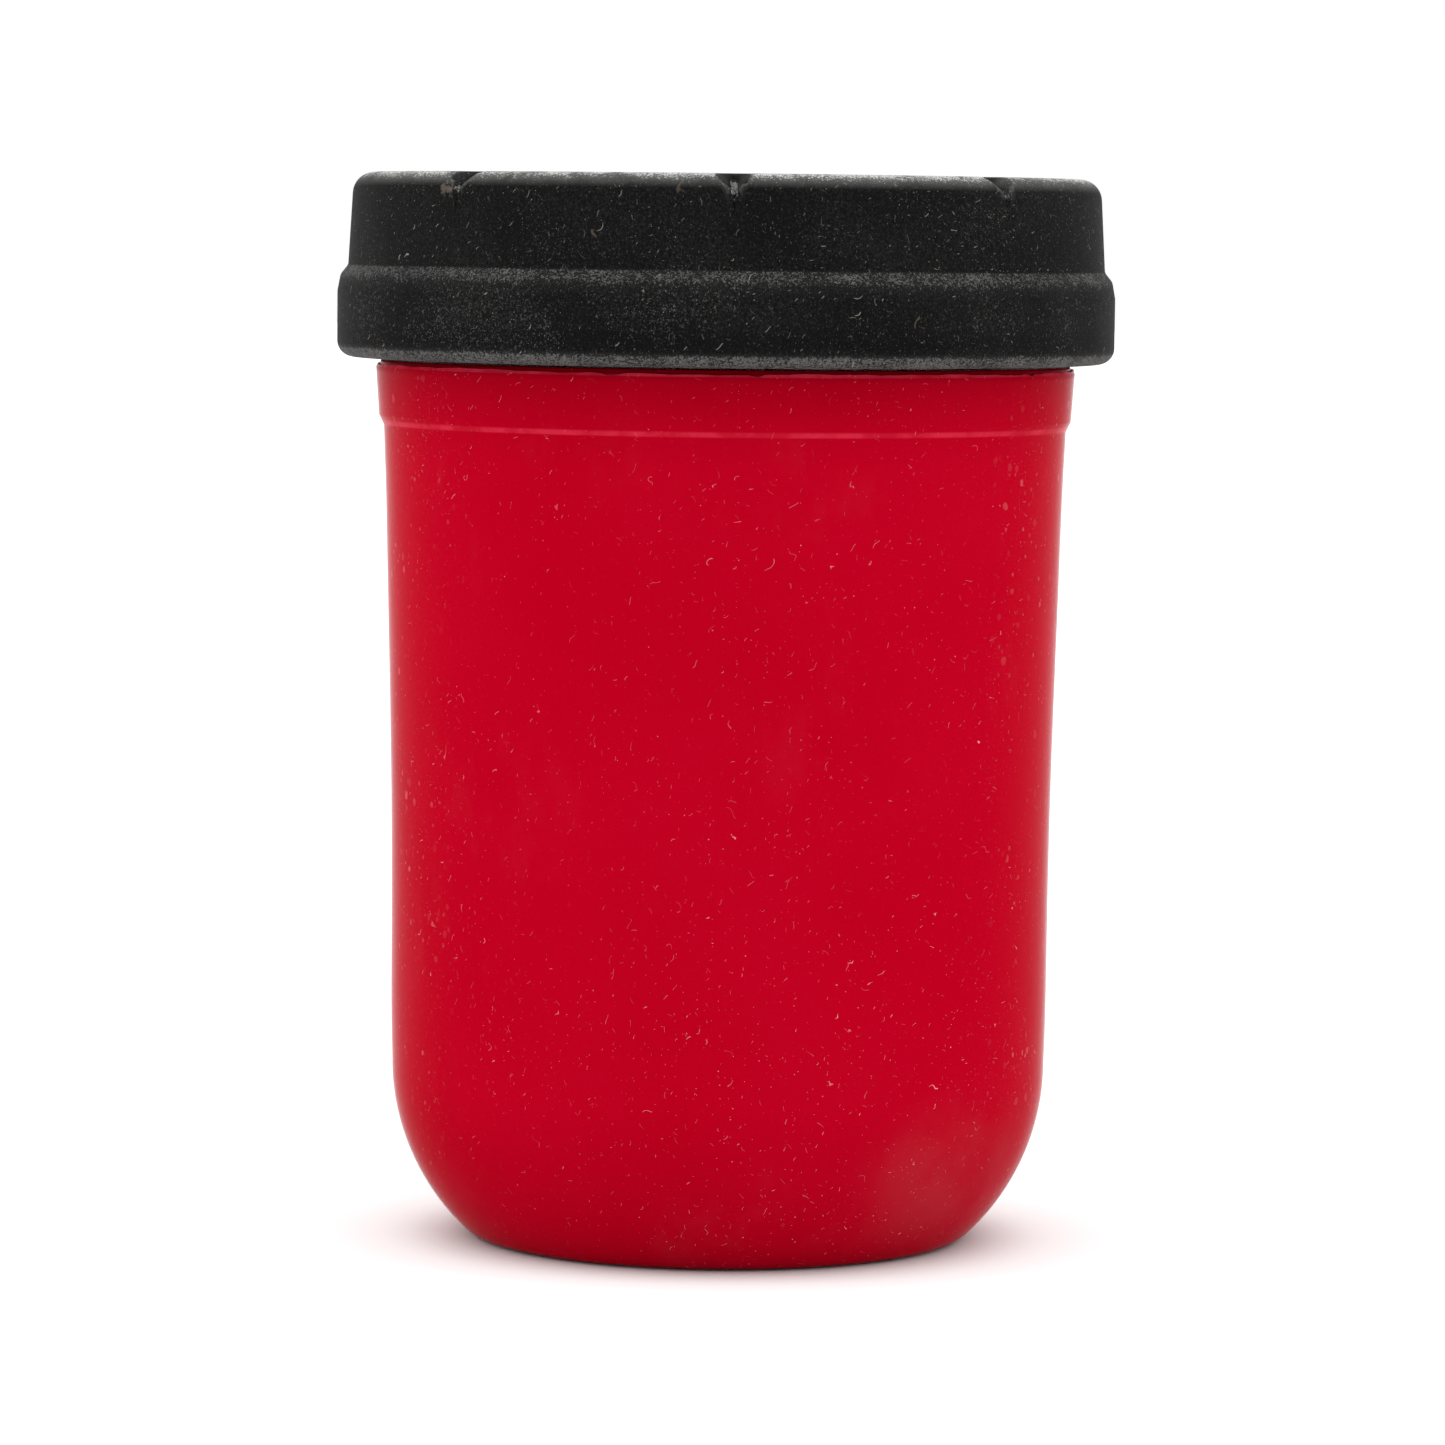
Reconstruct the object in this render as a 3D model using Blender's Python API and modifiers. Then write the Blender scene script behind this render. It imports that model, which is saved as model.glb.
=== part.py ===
"""Screw-top glass jar in a soft silicone sleeve, with a two-part push-and-turn cap under a silicone cover."""

import math

import bmesh
import bpy
from mathutils import Matrix, Vector

MM = 0.001
FULL_TURN = 2 * math.pi
SEGMENTS = 48
GAP = 0.3

# Heights above the table, in millimetres, from the base up to the top of the closed lid.
SLEEVE_FLOOR = 2.7
JAR_FOOT = 3.0
HEEL_Z = 18.57
COLLAR_STEP_Z = 85.9
COLLAR_Z = 87.0
SLEEVE_RIM = 92.15
LIP_TOP = 92.85
COVER_BOTTOM = 93.1
OUTER_CAP_BOTTOM = 94.1
INNER_CAP_BOTTOM = 95.1
JAR_RIM = 104.0
GASKET_BOTTOM = 104.2
GASKET_TOP = 105.1
DISC_BOTTOM = 105.3
DISC_TOP = 106.1
INNER_CAP_PLATE = 106.3
INNER_CAP_TOP = 107.5
OUTER_CAP_PLATE = 109.8
OUTER_CAP_TOP = 111.0
COVER_PLATE = 111.2
COVER_TOP = 112.5

# Sleeve: outer wall from the collar's step down to the heel, as (radius, height).
BODY = (
    (36.03, 84.6),
    (35.79, 78.3),
    (35.52, 67.7),
    (35.24, 57.0),
    (35.02, 46.4),
    (34.91, 35.7),
    (34.87, 25.0),
    (34.73, HEEL_Z),
)
HEEL_RADIUS = 24.37
HEEL_CENTRE = 34.73 - HEEL_RADIUS
FOOT_FILLET = 3.2
FOOT_RING_INNER = 22.4
BASE_RECESS = 0.5
SLEEVE_WALL = 2.2
COLLAR_INNER = 34.2
LIP_RADIUS = 35.75

# Glass jar.
NECK_RADIUS = 33.3
MOUTH_RADIUS = 30.6
GLASS_WALL = 2.7
GLASS_FLOOR = 8.0
GLASS_HEEL_RADIUS = 10.0

# Screw thread: a rounded ridge on the neck, and one in the inner cap half a pitch below it.
PITCH = 5.08
RIDGE_RADIUS = 1.0
JAR_RIDGE_START = 95.5
JAR_RIDGE_TURNS = 1.2
CAP_RIDGE_START_TURN = 0.638
CAP_RIDGE_TURNS = 0.8
POINTS_PER_TURN = 30
RIDGE_FADE_POINTS = 4

# Push-and-turn drive between the two caps.
DRIVE_COUNT = 12
DRIVE_RADIUS = 29.5
DRIVE_LENGTH = 4.0
TOOTH_HEIGHT = 0.95
TOOTH_WIDTH = 6.0
LUG_HEIGHT = 1.05
LUG_WIDTH = 5.0

# Wave spring that keeps the outer cap up.
SPRING_INNER = 15.0
SPRING_OUTER = 20.5
SPRING_THICKNESS = 0.35
SPRING_WAVES = 3
SPRING_BOTTOM = 107.6
SPRING_TOP = 109.7

# V-shaped grip notches round the top edge of the cover.
NOTCH_COUNT = 8
NOTCH_PHASE = math.radians(-89.0)
NOTCH_HALF_WIDTH = 2.1
NOTCH_HALF_DEPTH = 2.2
NOTCH_LENGTH = 9.0
NOTCH_LINE = 149.3
NOTCH_MIDDLE_RADIUS = 38.3


def clear_scene():
    for obj in list(bpy.data.objects):
        bpy.data.objects.remove(obj, do_unlink=True)


def new_collection(name, hidden=False):
    collection = bpy.data.collections.new(name)
    bpy.context.scene.collection.children.link(collection)
    collection.hide_render = hidden
    return collection


def new_material(name, colour, roughness, metallic=0.0, transmission=0.0):
    material = bpy.data.materials.new(name)
    material.use_nodes = True
    shader = material.node_tree.nodes["Principled BSDF"]
    shader.inputs["Base Color"].default_value = (*colour, 1.0)
    shader.inputs["Roughness"].default_value = roughness
    shader.inputs["Metallic"].default_value = metallic
    shader.inputs["Transmission Weight"].default_value = transmission
    material.diffuse_color = (*colour, 1.0)
    return material


def new_object(name, mesh, collection, height=0.0, parent=None):
    """Links a mesh whose points are in world millimetres, with its origin on the jar's axis at this height."""
    mesh.transform(Matrix.Translation((0, 0, -height)))
    mesh.transform(Matrix.Scale(MM, 4))
    for polygon in mesh.polygons:
        polygon.use_smooth = True
    obj = bpy.data.objects.new(name, mesh)
    collection.objects.link(obj)
    obj.location = (0, 0, height * MM)
    if parent is not None:
        obj.parent = parent
        obj.location.z -= parent.location.z
    return obj


def corner(before, point, after, radius):
    """The points of a fillet of this radius at the middle one of three profile points."""
    here = Vector(point)
    to_before = (Vector(before) - here).normalized()
    to_after = (Vector(after) - here).normalized()
    half = to_before.angle(to_after) / 2
    run = radius / math.tan(half)
    centre = here + (to_before + to_after).normalized() * radius / math.sin(half)
    start = here + to_before * run - centre
    end = here + to_after * run - centre
    sweep = start.angle(end)
    steps = 3 if radius > 1.2 else 2 if radius > 0.45 else 1
    points = []
    for step in range(steps + 1):
        share = step / steps
        blend = start * math.sin((1 - share) * sweep) + end * math.sin(share * sweep)
        points.append(tuple(centre + blend / math.sin(sweep)))
    return points


def rounded(profile, closed=False):
    """Turns (radius, height, fillet) points into plain ones, with an arc at each corner that has a fillet."""
    points = []
    count = len(profile)
    for index, entry in enumerate(profile):
        inside = closed or 0 < index < count - 1
        if len(entry) == 3 and inside:
            before = profile[index - 1][:2]
            after = profile[(index + 1) % count][:2]
            points += corner(before, entry[:2], after, entry[2])
        else:
            points.append(entry[:2])
    return points


def arc(centre, radius, first, last, steps):
    """Points on a circle round (radius, height), between two angles in degrees."""
    points = []
    for step in range(steps + 1):
        angle = math.radians(first + (last - first) * step / steps)
        points.append((centre[0] + radius * math.cos(angle), centre[1] + radius * math.sin(angle)))
    return points


def lathe(name, profile, collection, material, height, parent=None, closed=False):
    """Turns a profile of (radius, height) points round the jar's axis."""
    mesh = bpy.data.meshes.new(name)
    points = [(r, 0, z) for r, z in profile]
    edges = [(i, i + 1) for i in range(len(points) - 1)]
    if closed:
        edges.append((len(points) - 1, 0))
    mesh.from_pydata(points, edges, [])
    mesh.materials.append(material)
    obj = new_object(name, mesh, collection, height, parent)
    screw = obj.modifiers.new("turned", "SCREW")
    screw.axis = "Z"
    screw.angle = FULL_TURN
    screw.steps = SEGMENTS
    screw.render_steps = SEGMENTS
    screw.use_merge_vertices = True
    screw.merge_threshold = 0.00001
    screw.use_smooth_shade = True
    return obj


def join(obj, tool, operation="UNION"):
    boolean = obj.modifiers.new(tool.name, "BOOLEAN")
    boolean.object = tool
    boolean.operation = operation
    boolean.solver = "EXACT"


def hide_tool(obj):
    obj.hide_render = True
    obj.display_type = "WIRE"
    return obj


def ridge(name, radius, start_z, start_turn, turns, collection):
    """A rounded helical ridge that fades into the wall at both ends."""
    curve = bpy.data.curves.new(name, "CURVE")
    curve.dimensions = "3D"
    curve.bevel_depth = RIDGE_RADIUS * MM
    curve.bevel_resolution = 2
    curve.use_fill_caps = True
    count = round(turns * POINTS_PER_TURN) + 1
    spline = curve.splines.new("POLY")
    spline.points.add(count - 1)
    for index, point in enumerate(spline.points):
        turn = start_turn + turns * index / (count - 1)
        angle = FULL_TURN * turn
        z = start_z + PITCH * turn
        point.co = (radius * MM * math.cos(angle), radius * MM * math.sin(angle), z * MM, 1)
        from_end = min(index, count - 1 - index)
        point.radius = 0.45 + 0.55 * min(1, from_end / RIDGE_FADE_POINTS)
    guide = bpy.data.objects.new(name + "_path", curve)
    collection.objects.link(guide)
    hide_tool(guide)
    bpy.context.view_layer.update()
    graph = bpy.context.evaluated_depsgraph_get()
    mesh = bpy.data.meshes.new_from_object(guide.evaluated_get(graph))
    mesh.name = name
    shape = bmesh.new()
    shape.from_mesh(mesh)
    bmesh.ops.remove_doubles(shape, verts=shape.verts, dist=0.00001)
    bmesh.ops.recalc_face_normals(shape, faces=shape.faces)
    shape.to_mesh(mesh)
    shape.free()
    tool = bpy.data.objects.new(name, mesh)
    collection.objects.link(tool)
    return hide_tool(tool)


def ratchet(name, bottom, top, width, phase, ramp_up, collection):
    """A ring of ramped drive teeth: each is a block whose free end is narrowed from one side."""
    shape = bmesh.new()
    for index in range(DRIVE_COUNT):
        angle = FULL_TURN * index / DRIVE_COUNT + phase
        place = Matrix.Rotation(angle, 4, "Z") @ Matrix.Translation((DRIVE_RADIUS, 0, (bottom + top) / 2))
        size = Matrix.Diagonal((DRIVE_LENGTH, width, top - bottom, 1))
        block = bmesh.ops.create_cube(shape, size=1.0)["verts"]
        for vert in block:
            free_end = vert.co.z > 0 if ramp_up else vert.co.z < 0
            ramp_side = vert.co.y > 0 if ramp_up else vert.co.y < 0
            if free_end and ramp_side:
                vert.co.y *= 0.1
        bmesh.ops.transform(shape, matrix=place @ size, verts=block)
    mesh = bpy.data.meshes.new(name)
    shape.to_mesh(mesh)
    shape.free()
    return hide_tool(new_object(name, mesh, collection))


def notch_bars(name, collection):
    """Square bars on edge, sloping down and outwards, that cut the grip notches."""
    shape = bmesh.new()
    middle = (NOTCH_MIDDLE_RADIUS, 0, NOTCH_LINE - NOTCH_MIDDLE_RADIUS + NOTCH_HALF_DEPTH * math.sqrt(2))
    for index in range(NOTCH_COUNT):
        angle = FULL_TURN * index / NOTCH_COUNT + NOTCH_PHASE
        bar = bmesh.ops.create_cube(shape, size=math.sqrt(2))["verts"]
        stand = Matrix.Rotation(math.radians(45), 4, "X")
        size = Matrix.Diagonal((NOTCH_LENGTH / math.sqrt(2), NOTCH_HALF_WIDTH, NOTCH_HALF_DEPTH, 1))
        slope = Matrix.Rotation(math.radians(45), 4, "Y")
        place = Matrix.Rotation(angle, 4, "Z") @ Matrix.Translation(middle)
        bmesh.ops.transform(shape, matrix=place @ slope @ size @ stand, verts=bar)
    mesh = bpy.data.meshes.new(name)
    shape.to_mesh(mesh)
    shape.free()
    return hide_tool(new_object(name, mesh, collection))


def wave_ring(name, collection, material, parent):
    shape = bmesh.new()
    for radius in (SPRING_INNER, SPRING_OUTER):
        bmesh.ops.create_circle(shape, segments=SEGMENTS, radius=radius)
    bmesh.ops.bridge_loops(shape, edges=shape.edges)
    middle = (SPRING_BOTTOM + SPRING_TOP) / 2
    swing = (SPRING_TOP - SPRING_BOTTOM - SPRING_THICKNESS) / 2 - 0.02
    for vert in shape.verts:
        angle = math.atan2(vert.co.y, vert.co.x)
        vert.co.z = middle + swing * math.cos(SPRING_WAVES * angle)
    bmesh.ops.recalc_face_normals(shape, faces=shape.faces)
    mesh = bpy.data.meshes.new(name)
    shape.to_mesh(mesh)
    shape.free()
    mesh.materials.append(material)
    obj = new_object(name, mesh, collection, SPRING_BOTTOM, parent)
    solid = obj.modifiers.new("strip", "SOLIDIFY")
    solid.thickness = SPRING_THICKNESS * MM
    solid.offset = 0.0
    return obj


def sleeve_profile():
    run = math.sqrt((HEEL_RADIUS - FOOT_FILLET) ** 2 - (HEEL_Z - FOOT_FILLET) ** 2)
    end_angle = -math.degrees(math.atan2(HEEL_Z - FOOT_FILLET, run))
    inner_radius = HEEL_RADIUS - SLEEVE_WALL
    floor_angle = -math.degrees(math.asin((HEEL_Z - SLEEVE_FLOOR) / inner_radius))
    centre = (HEEL_CENTRE, HEEL_Z)
    inside = [(0, SLEEVE_FLOOR)]
    inside += arc(centre, inner_radius, floor_angle, 0, 4)
    inside += [(r - SLEEVE_WALL, z) for r, z in reversed(BODY[:-1])]
    rim = rounded(
        (
            (COLLAR_INNER, COLLAR_Z - 1),
            (COLLAR_INNER, LIP_TOP, 0.3),
            (LIP_RADIUS, LIP_TOP, 0.3),
            (LIP_RADIUS, SLEEVE_RIM),
            (36.95, SLEEVE_RIM, 0.3),
            (36.6, COLLAR_Z, 0.3),
            (36.08, COLLAR_STEP_Z, 0.4),
            BODY[0],
        )
    )
    outside = list(BODY[1:-1]) + arc(centre, HEEL_RADIUS, 0, end_angle, 6)
    outside += arc((HEEL_CENTRE + run, FOOT_FILLET), FOOT_FILLET, end_angle, -90, 2)[1:]
    base = [(FOOT_RING_INNER, 0), (FOOT_RING_INNER - 0.5, BASE_RECESS), (0, BASE_RECESS)]
    return inside + rim + outside + base


def jar_profile():
    wall = SLEEVE_WALL + GAP
    outer_heel = HEEL_RADIUS - wall
    foot_angle = -math.degrees(math.asin((HEEL_Z - JAR_FOOT) / outer_heel))
    inner_radius = BODY[-1][0] - wall - GLASS_WALL
    inner_heel = (inner_radius - GLASS_HEEL_RADIUS, GLASS_FLOOR + GLASS_HEEL_RADIUS)
    inside = [(0, GLASS_FLOOR)]
    inside += arc(inner_heel, GLASS_HEEL_RADIUS, -90, 0, 4)
    inside += [(r - wall - GLASS_WALL, z) for r, z in reversed(BODY[1:-2])]
    mouth = rounded(
        (
            (MOUTH_RADIUS, 91.0),
            (MOUTH_RADIUS, JAR_RIM, 1.1),
            (NECK_RADIUS, JAR_RIM, 1.1),
            (NECK_RADIUS, 92.6, 0.6),
            (33.85, 91.6, 0.4),
            (33.85, 87.0),
        )
    )
    outside = [(r - wall, z) for r, z in BODY[:-1]]
    outside += arc((HEEL_CENTRE, HEEL_Z), outer_heel, 0, foot_angle, 4)
    foot = [(20.0, JAR_FOOT), (16.5, JAR_FOOT + 1.0), (0, JAR_FOOT + 1.4)]
    return inside + mouth + outside + foot


def gasket_profile():
    return rounded(
        (
            (29.8, GASKET_TOP, 0.2),
            (34.0, GASKET_TOP, 0.2),
            (34.0, GASKET_BOTTOM, 0.3),
            (29.8, GASKET_BOTTOM, 0.3),
        ),
        closed=True,
    )


def disc_profile():
    drop = 0.5
    return [
        (0, DISC_TOP - drop),
        (28.3, DISC_TOP - drop),
        (29.1, DISC_TOP),
        (34.2, DISC_TOP),
        (34.4, DISC_TOP - 0.2),
        (34.4, DISC_BOTTOM + 0.2),
        (34.2, DISC_BOTTOM),
        (29.3, DISC_BOTTOM),
        (28.6, DISC_BOTTOM - drop),
        (0, DISC_BOTTOM - drop),
    ]


def inner_cap_profile():
    return rounded(
        (
            (0, INNER_CAP_TOP),
            (34.8, INNER_CAP_TOP, 0.4),
            (36.4, INNER_CAP_TOP - 1.6, 0.4),
            (36.4, INNER_CAP_BOTTOM, 0.4),
            (35.0, INNER_CAP_BOTTOM, 0.3),
            (35.0, INNER_CAP_PLATE, 0.7),
            (0, INNER_CAP_PLATE),
        )
    )


def outer_cap_profile():
    return rounded(
        (
            (0, OUTER_CAP_TOP),
            (34.5, OUTER_CAP_TOP, 1.0),
            (37.9, 107.6, 1.0),
            (38.1, 102.6, 0.8),
            (39.2, 99.9, 0.8),
            (39.2, OUTER_CAP_BOTTOM, 0.4),
            (36.3, OUTER_CAP_BOTTOM, 0.2),
            (36.1, 94.7),
            (37.7, 95.6, 0.3),
            (37.7, 99.0, 0.6),
            (36.9, 101.0, 0.6),
            (36.9, 107.0, 1.0),
            (34.1, OUTER_CAP_PLATE, 1.0),
            (0, OUTER_CAP_PLATE),
        )
    )


def cover_profile():
    return rounded(
        (
            (0, COVER_TOP - 0.4),
            (28.9, COVER_TOP - 0.4),
            (29.6, COVER_TOP, 0.4),
            (39.4, COVER_TOP, 2.3),
            (39.95, 102.9, 0.3),
            (40.7, 101.9, 1.0),
            (41.07, 100.2, 0.8),
            (41.07, COVER_BOTTOM, 1.3),
            (38.3, COVER_BOTTOM, 0.2),
            (38.3, 93.8, 0.2),
            (39.5, 93.8),
            (39.5, 100.0, 0.5),
            (38.4, 102.5, 0.5),
            (38.2, 107.9, 0.8),
            (34.8, COVER_PLATE, 0.8),
            (0, COVER_PLATE),
        )
    )


clear_scene()
parts = new_collection("push_turn_storage_jar")
cutters = new_collection("cutters", hidden=True)

red_silicone = new_material("red_silicone", (0.50, 0.0, 0.012), 0.62)
clear_glass = new_material("clear_glass", (0.93, 0.97, 0.95), 0.03, transmission=1.0)
seal_silicone = new_material("seal_silicone", (0.78, 0.78, 0.74), 0.55)
disc_plastic = new_material("disc_plastic", (0.86, 0.86, 0.84), 0.40)
inner_cap_plastic = new_material("inner_cap_plastic", (0.035, 0.035, 0.037), 0.42)
spring_steel = new_material("spring_steel", (0.56, 0.57, 0.58), 0.28, metallic=1.0)
outer_cap_plastic = new_material("outer_cap_plastic", (0.028, 0.028, 0.030), 0.45)
black_silicone = new_material("black_silicone", (0.011, 0.011, 0.011), 0.66)

lid_axis = bpy.data.objects.new("lid_axis", None)
lid_axis.empty_display_size = 0.02
lid_axis.location = (0, 0, INNER_CAP_BOTTOM * MM)
parts.objects.link(lid_axis)

lathe("silicone_sleeve", sleeve_profile(), parts, red_silicone, 0)

glass_jar = lathe("glass_jar", jar_profile(), parts, clear_glass, JAR_FOOT)
neck_ridge_radius = NECK_RADIUS + 0.3
join(glass_jar, ridge("neck_ridge", neck_ridge_radius, JAR_RIDGE_START, 0, JAR_RIDGE_TURNS, cutters))

lathe("seal_gasket", gasket_profile(), parts, seal_silicone, GASKET_BOTTOM, lid_axis, closed=True)
lathe("seal_disc", disc_profile(), parts, disc_plastic, DISC_BOTTOM, lid_axis)

inner_cap = lathe("inner_cap", inner_cap_profile(), parts, inner_cap_plastic, INNER_CAP_BOTTOM, lid_axis)
cap_helix_start = JAR_RIDGE_START - PITCH / 2
cap_ridge = ridge("cap_ridge", 34.75, cap_helix_start, CAP_RIDGE_START_TURN, CAP_RIDGE_TURNS, cutters)
join(inner_cap, cap_ridge)
tooth_top = INNER_CAP_TOP + TOOTH_HEIGHT
join(inner_cap, ratchet("teeth", INNER_CAP_TOP - 0.4, tooth_top, TOOTH_WIDTH, 0, True, cutters))

wave_ring("spring_ring", parts, spring_steel, lid_axis)

outer_cap = lathe("outer_cap", outer_cap_profile(), parts, outer_cap_plastic, OUTER_CAP_BOTTOM, lid_axis)
lug_bottom = OUTER_CAP_PLATE - LUG_HEIGHT
half_step = math.pi / DRIVE_COUNT
join(outer_cap, ratchet("lugs", lug_bottom, OUTER_CAP_PLATE + 0.4, LUG_WIDTH, half_step, False, cutters))

lid_cover = lathe("lid_cover", cover_profile(), parts, black_silicone, COVER_BOTTOM, lid_axis)
join(lid_cover, notch_bars("grip_notches", cutters), "DIFFERENCE")
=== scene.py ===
"""Soft-sleeved screw-top jar with a push-and-turn lid: fine surfaces, materials, light and camera."""

import math

import bmesh
import bpy
from mathutils import Matrix, Vector


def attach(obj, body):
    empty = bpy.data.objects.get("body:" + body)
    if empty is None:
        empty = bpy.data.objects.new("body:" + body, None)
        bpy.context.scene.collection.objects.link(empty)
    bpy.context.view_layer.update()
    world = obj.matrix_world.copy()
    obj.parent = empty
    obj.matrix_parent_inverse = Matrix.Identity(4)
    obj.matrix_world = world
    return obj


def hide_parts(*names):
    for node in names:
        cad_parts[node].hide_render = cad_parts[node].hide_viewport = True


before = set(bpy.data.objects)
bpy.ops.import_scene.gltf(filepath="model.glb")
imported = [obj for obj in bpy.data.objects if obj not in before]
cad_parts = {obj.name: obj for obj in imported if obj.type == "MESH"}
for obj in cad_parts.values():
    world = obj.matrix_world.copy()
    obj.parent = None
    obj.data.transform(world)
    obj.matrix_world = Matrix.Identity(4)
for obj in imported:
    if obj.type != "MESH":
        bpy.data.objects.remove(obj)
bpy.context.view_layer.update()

MM = 0.001
TAU = 2 * math.pi

# Sizes in millimetres. They follow the CAD's, apart from LIP_RADIUS, which is 35.75 there.
# Sleeve, and its outline from the collar down to the heel.
HEEL_Z = 18.57
BODY = (
    (36.03, 84.6),
    (35.79, 78.3),
    (35.52, 67.7),
    (35.24, 57.0),
    (35.02, 46.4),
    (34.91, 35.7),
    (34.87, 25.0),
    (34.73, HEEL_Z),
)
HEEL_RADIUS = 24.37
HEEL_CENTRE = BODY[-1][0] - HEEL_RADIUS
FOOT_FILLET = 3.2
FOOT_RING = 22.4
FOOT_RECESS = 0.5
SLEEVE_FLOOR = 2.7
SLEEVE_WALL = 2.2
COLLAR_STEP_Z = 85.9
COLLAR_Z = 87.0
COLLAR_INNER = 34.2
SLEEVE_RIM = 92.15
RIM_RADIUS = 36.945
LIP_TOP = 92.85
LIP_RADIUS = 36.5

# The moulding flash on the sleeve's rim is only drawn here. A nick is an angle and half a width, in degrees.
FLASH_INNER = 36.72
FLASH_OUTER = 36.84
FLASH_HEIGHT = 0.26
FLASH_NICKS = ((-108.0, 1.4), (-85.2, 1.2), (-31.0, 0.8), (20.0, 1.8), (77.0, 1.0), (163.0, 1.5))

# Glass, and the ridge of its thread.
GAP = 0.3
JAR_FOOT = 3.0
JAR_RIM = 104.0
NECK_RADIUS = 33.3
NECK_FOOT_RADIUS = 33.85
NECK_FOOT_Z = 87.0
MOUTH_RADIUS = 30.6
GLASS_WALL = 2.7
GLASS_FLOOR = 8.0
GLASS_HEEL_RADIUS = 10.0
PITCH = 5.08
RIDGE_START = 95.5
RIDGE_TURNS = 1.2
RIDGE_HEIGHT = 1.3
RIDGE_HALF = 1.25
RIDGE_LOWEST = 92.7
RIDGE_HIGHEST = 102.9

# Cover.
COVER_BOTTOM = 93.1
COVER_TOP = 112.5
COVER_RECESS = 0.4
COVER_CEILING = 111.2

# Notches in the cover's top edge: the front one points one degree to the right of the camera. Each is a
# funnel that runs into a narrow groove, and these say how far down they reach, half their width and how
# deep they cut. Nothing inside NOTCH_INNER_R is cut.
NOTCH_COUNT = 8
NOTCH_PHASE = math.radians(-89.0)
NOTCH_INNER_R = 35.2
FUNNEL = 2.0
FUNNEL_HALF = 1.85
FUNNEL_DEPTH = 1.5
GROOVE = 4.2
GROOVE_HALF = 0.55
GROOVE_DEPTH = 0.75

# How finely the surfaces are drawn: faces round the axis, millimetres between rings, and the angle in
# degrees from which an edge is sharp.
SLEEVE_AROUND = 288
SLEEVE_RINGS = 0.6
GLASS_AROUND = 240
NECK_RINGS = 0.16
COVER_RINGS = 0.24
SHARP_EDGE = 38
SHARP_COVER_EDGE = 50
SHARP_GLASS_EDGE = 60

# Looks: base colours, painted shade and painted highlights among them, and how much each surface shines.
RED_DEEP = (0.344, 0.0, 0.0090)
RED = (0.358, 0.0002, 0.0104)
# Painted shade, mixed into the sleeve below the lid.
RED_PAINTED_SHADE = (0.18, 0.0, 0.004)
RED_SMUDGE = (0.42, 0.05, 0.068)
RED_HANDLED = (0.33, 0.060, 0.068)
RED_PRINT = (0.55, 0.15, 0.17)
# Painted highlight along the step under the collar.
RED_LEDGE_HIGHLIGHT = (0.64, 0.035, 0.075)
RED_FLASH = (0.66, 0.055, 0.10)
# Painted shade on the lip behind the flash, under the lid.
RED_LIP_SHADE = (0.18, 0.0, 0.003)
RED_SPECK = (0.80, 0.27, 0.31)
RED_LINT = (0.82, 0.27, 0.31)
RED_SHINE = 0.0032
BLACK_DEEP = (0.0040, 0.0040, 0.0041)
BLACK = (0.0150, 0.0147, 0.0143)
BLACK_WIPED = (0.0035, 0.0035, 0.0036)
BLACK_SHINE = 0.014
# Powder, also used for the painted sheen on the lid's top edge.
POWDER_AND_SHEEN = (0.58, 0.575, 0.56)
SPECK = (0.60, 0.58, 0.56)
LINT = (0.60, 0.54, 0.47)
FLAKE = (0.52, 0.40, 0.27)
DIRT = (0.52, 0.42, 0.33)
FLOOR_DARK, FLOOR_LIGHT = 0.69, 0.71

# Middles of a handled patch and of the thickest lint on the sleeve, and of a bit of dirt by a notch.
HANDLED_PLACE = (26.0, -23.0, 9.0)
LINT_PLACE = (12.0, -32.0, 14.0)
DIRT_PLACE = (-28.5, -27.3, 110.7)

# Studio, in metres. The surround brightens between two heights of a direction, where 1 is straight up.
RISE_START = 0.40
RISE_END = 0.92
HORIZON_LIGHT = 1.0
ZENITH_LIGHT = 2.9
BOX_PLACE = (0.75, -0.12, 0.30)
BOX_SIZE = (0.5, 0.9)
BOX_WATTS = 1.3
BOX_AIM = (0, 0, 0.06)
CAMERA_PLACE = (0.0001, -0.680, 0.1075)
CAMERA_PITCH = math.radians(4.45)
CAMERA_ROLL = math.radians(0.64)
CAMERA_LENS = 159.8
CAMERA_SENSOR = 36.0
FLOOR_SIZE = 6.0
FLOOR_DROP = 0.0001


# ---------------------------------------------------------------- profiles


def corner(before, point, after, radius, steps):
    here = Vector(point)
    to_before = (Vector(before) - here).normalized()
    to_after = (Vector(after) - here).normalized()
    half = to_before.angle(to_after) / 2
    run = radius / math.tan(half)
    centre = here + (to_before + to_after).normalized() * radius / math.sin(half)
    start = here + to_before * run - centre
    end = here + to_after * run - centre
    sweep = start.angle(end)
    points = []
    for step in range(steps + 1):
        share = step / steps
        blend = start * math.sin((1 - share) * sweep) + end * math.sin(share * sweep)
        points.append(tuple(centre + blend / math.sin(sweep)))
    return points


def rounded(profile, steps=7):
    """Turns (radius, height, fillet) points into plain ones, with an arc at each corner that has a fillet."""
    points = [profile[0][:2]]
    for before, entry, after in zip(profile, profile[1:], profile[2:]):
        if len(entry) == 3:
            points += corner(before[:2], entry[:2], after[:2], entry[2], steps)
        else:
            points.append(entry[:2])
    points.append(profile[-1][:2])
    return points


def arc(centre, radius, first, last, steps):
    angles = [math.radians(first + (last - first) * i / steps) for i in range(steps + 1)]
    return [(centre[0] + radius * math.cos(a), centre[1] + radius * math.sin(a)) for a in angles]


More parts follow.
